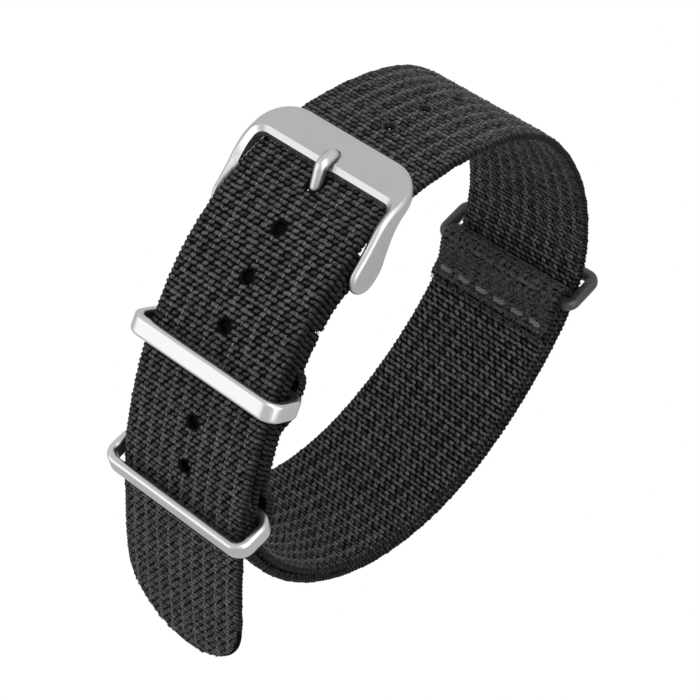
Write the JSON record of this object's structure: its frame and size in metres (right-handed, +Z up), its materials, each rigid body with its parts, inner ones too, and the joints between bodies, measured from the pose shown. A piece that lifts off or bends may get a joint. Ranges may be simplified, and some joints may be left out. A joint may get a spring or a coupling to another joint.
{
  "type": "pull-through webbing strap with pin buckle, keepers and strap ring",
  "caption": "Black woven nylon pull-through watch strap, buckled into a loop, with a satin steel pin buckle, two steel keepers and a black strap ring.",
  "frame": {"origin": "Bottom centre of the bounding box: the ground plane that the strap stands on, in the middle of its length and width.", "axes": "X runs across the loop from the buckle side to the ring side, Y runs along the width of the webbing, +Z is up."},
  "size_m": [0.0756, 0.0262, 0.0703],
  "materials": {
    "nylon_webbing": "woven, matte with small bright flecks",
    "satin_steel": "bead-blasted satin",
    "bar_steel": "drawn, bright",
    "keeper_steel": "satin",
    "black_steel": "black coated, semi-gloss",
    "black_thread": "twisted nylon thread",
    "grey_thread": "thick twisted nylon thread"
  },
  "bodies": {
    "straps": {"long_strap": "nylon_webbing", "short_strap": "nylon_webbing", "hinge_seam": "black_thread", "upper_keeper_top_seam": "black_thread", "upper_keeper_bottom_seam": "black_thread", "lower_keeper_top_seam": "black_thread", "lower_keeper_bottom_seam": "black_thread", "ring_seam": "grey_thread"},
    "buckle": {"buckle_frame": "satin_steel", "spring_bar_tube": "bar_steel", "spring_bar_spring": "bar_steel"},
    "tongue": {"buckle_tongue": "satin_steel"},
    "near_pin": {"spring_bar_pin_near": "bar_steel"},
    "far_pin": {"spring_bar_pin_far": "bar_steel"},
    "upper_keeper": {"upper_keeper": "keeper_steel"},
    "lower_keeper": {"lower_keeper": "keeper_steel"},
    "ring": {"strap_ring": "black_steel"}
  },
  "joints": [
    {"name": "buckle_hinge", "type": "hinge", "parent": "straps", "child": "buckle", "pos_m": [-0.01314, 0, 0.06112], "axis": [0, -1, 0], "range_deg": [0, 3]},
    {"name": "tongue_hinge", "type": "hinge", "parent": "buckle", "child": "tongue", "pos_m": [-0.01314, 0, 0.06112], "axis": [0, -1, 0], "range_deg": [0, 2]},
    {"name": "near_pin_slide", "type": "slide", "parent": "buckle", "child": "near_pin", "axis": [0, 1, 0], "range_m": [0, 0.0009], "stiffness_N_per_m": 500, "springref_m": -0.001, "deforming": ["spring_bar_spring"]},
    {"name": "far_pin_slide", "type": "slide", "parent": "buckle", "child": "far_pin", "axis": [0, -1, 0], "range_m": [0, 0.0009], "stiffness_N_per_m": 500, "springref_m": -0.001, "deforming": ["spring_bar_spring"]},
    {"name": "upper_keeper_hinge", "type": "hinge", "parent": "straps", "child": "upper_keeper", "pos_m": [-0.02547, 0, 0.04754], "axis": [0, -1, 0], "range_deg": [-18, 18]},
    {"name": "lower_keeper_hinge", "type": "hinge", "parent": "straps", "child": "lower_keeper", "pos_m": [-0.03133, 0, 0.03037], "axis": [0, -1, 0], "range_deg": [-38, 0]},
    {"name": "ring_hinge", "type": "hinge", "parent": "straps", "child": "ring", "pos_m": [0.03109, 0, 0.02467], "axis": [0, 1, 0], "range_deg": [0, 72]}
  ]
}
